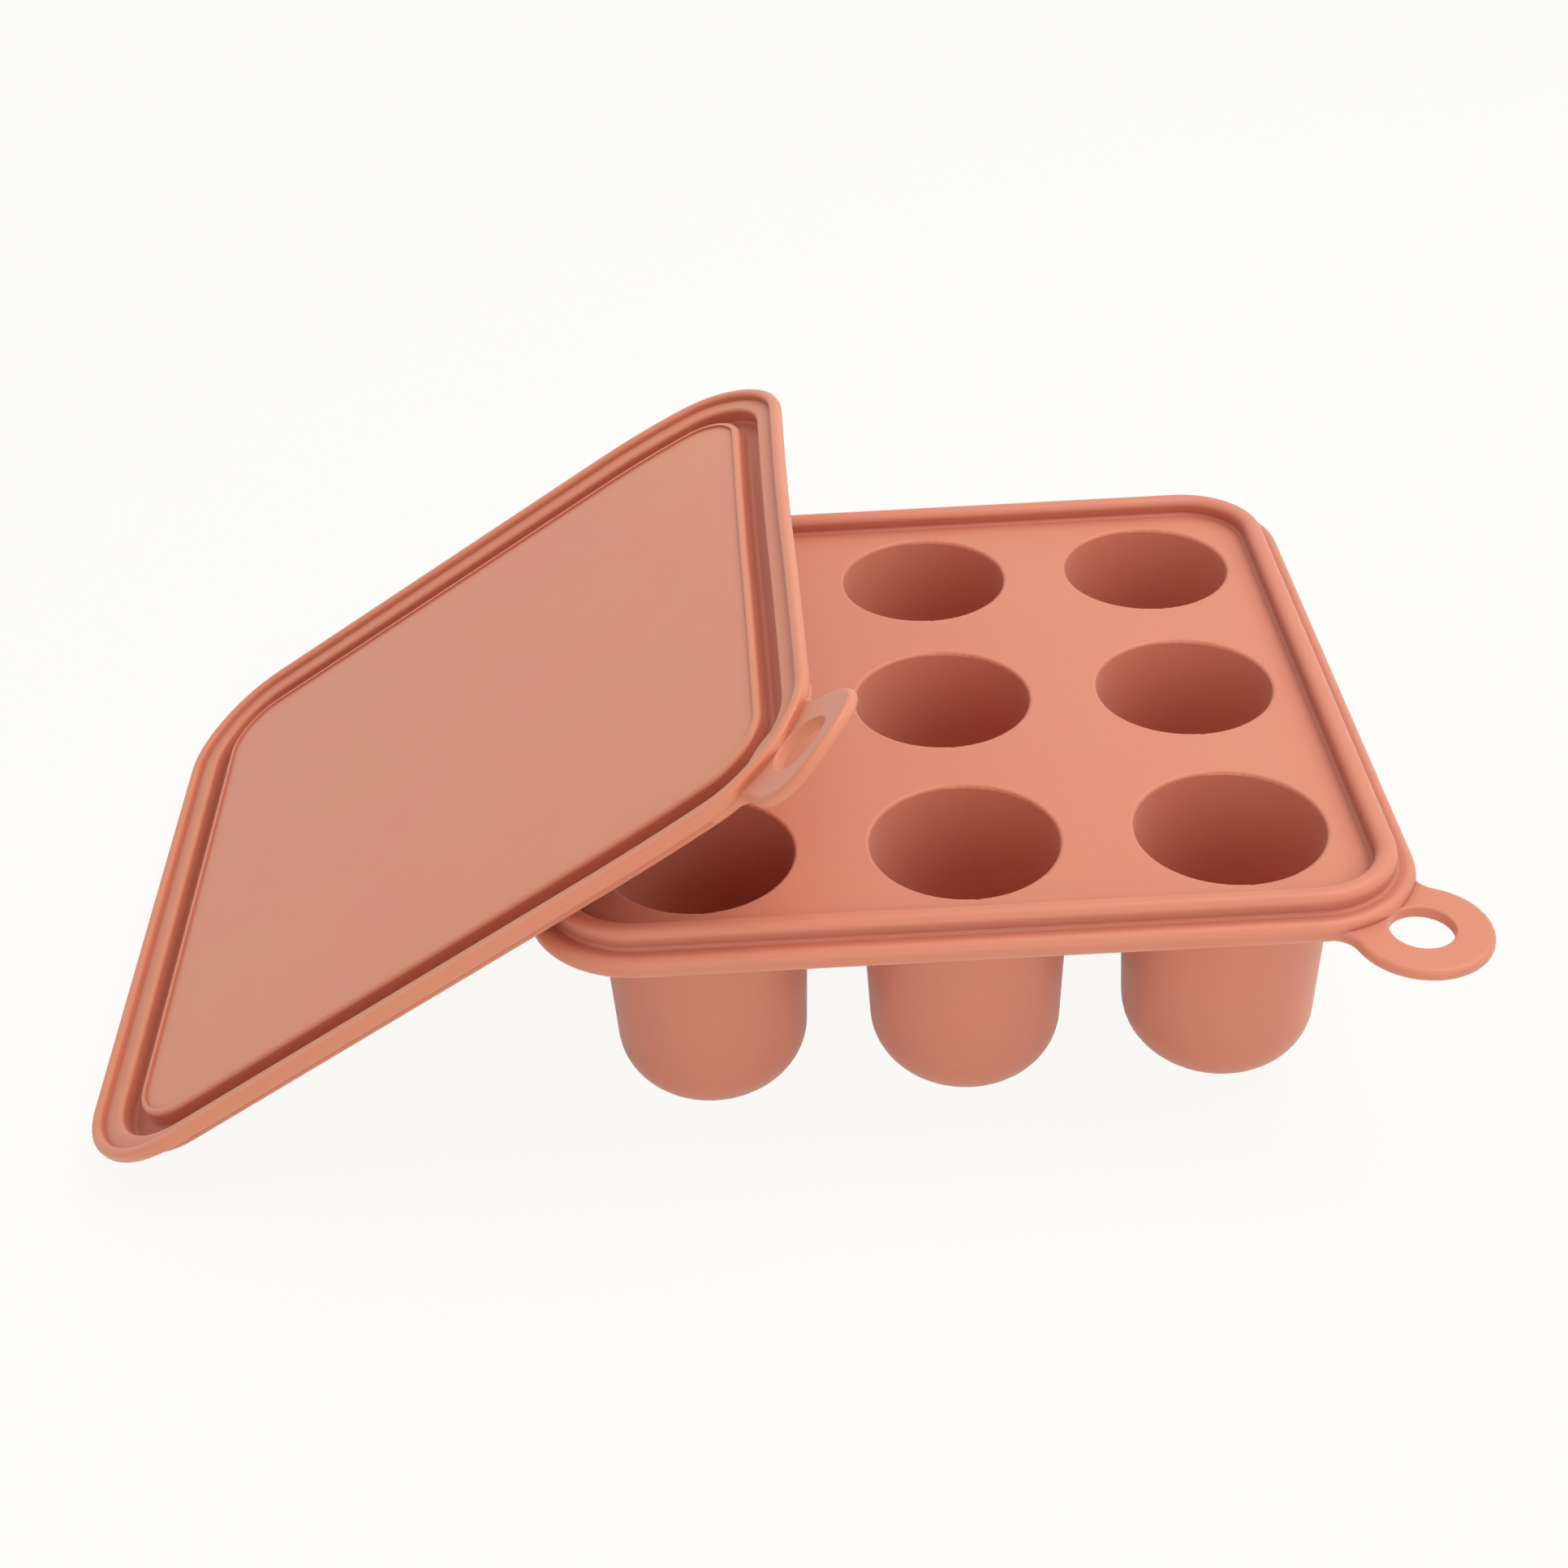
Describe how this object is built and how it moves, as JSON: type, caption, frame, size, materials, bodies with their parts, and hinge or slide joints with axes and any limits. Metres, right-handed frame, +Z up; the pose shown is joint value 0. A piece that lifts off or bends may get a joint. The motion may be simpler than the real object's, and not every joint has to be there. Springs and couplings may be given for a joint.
{
  "type": "baby food freezer tray",
  "caption": "Soft square freezer tray with round-bottomed wells, a sealing ridge and corner hanging loop, and its snap lid leaning open beside it.",
  "frame": {"origin": "middle of the tray, at the height of the cups' undersides, where the centre cup stands on the table", "axes": "+Z up, out of the wells; +X to the right, away from the leaning lid; +Y to the back, away from the corner with the loop"},
  "size_m": [0.305, 0.2101, 0.1096],
  "materials": {
    "silicone_tray": "satin",
    "silicone_lid": "satin"
  },
  "bodies": {
    "tray": {"tray": "silicone_tray"},
    "lid": {"lid": "silicone_lid"}
  },
  "joints": [
    {"name": "lid_lift", "type": "slide", "parent": "tray", "child": "lid", "axis": [0, 0, 1], "range_m": [0, 0.12]}
  ]
}
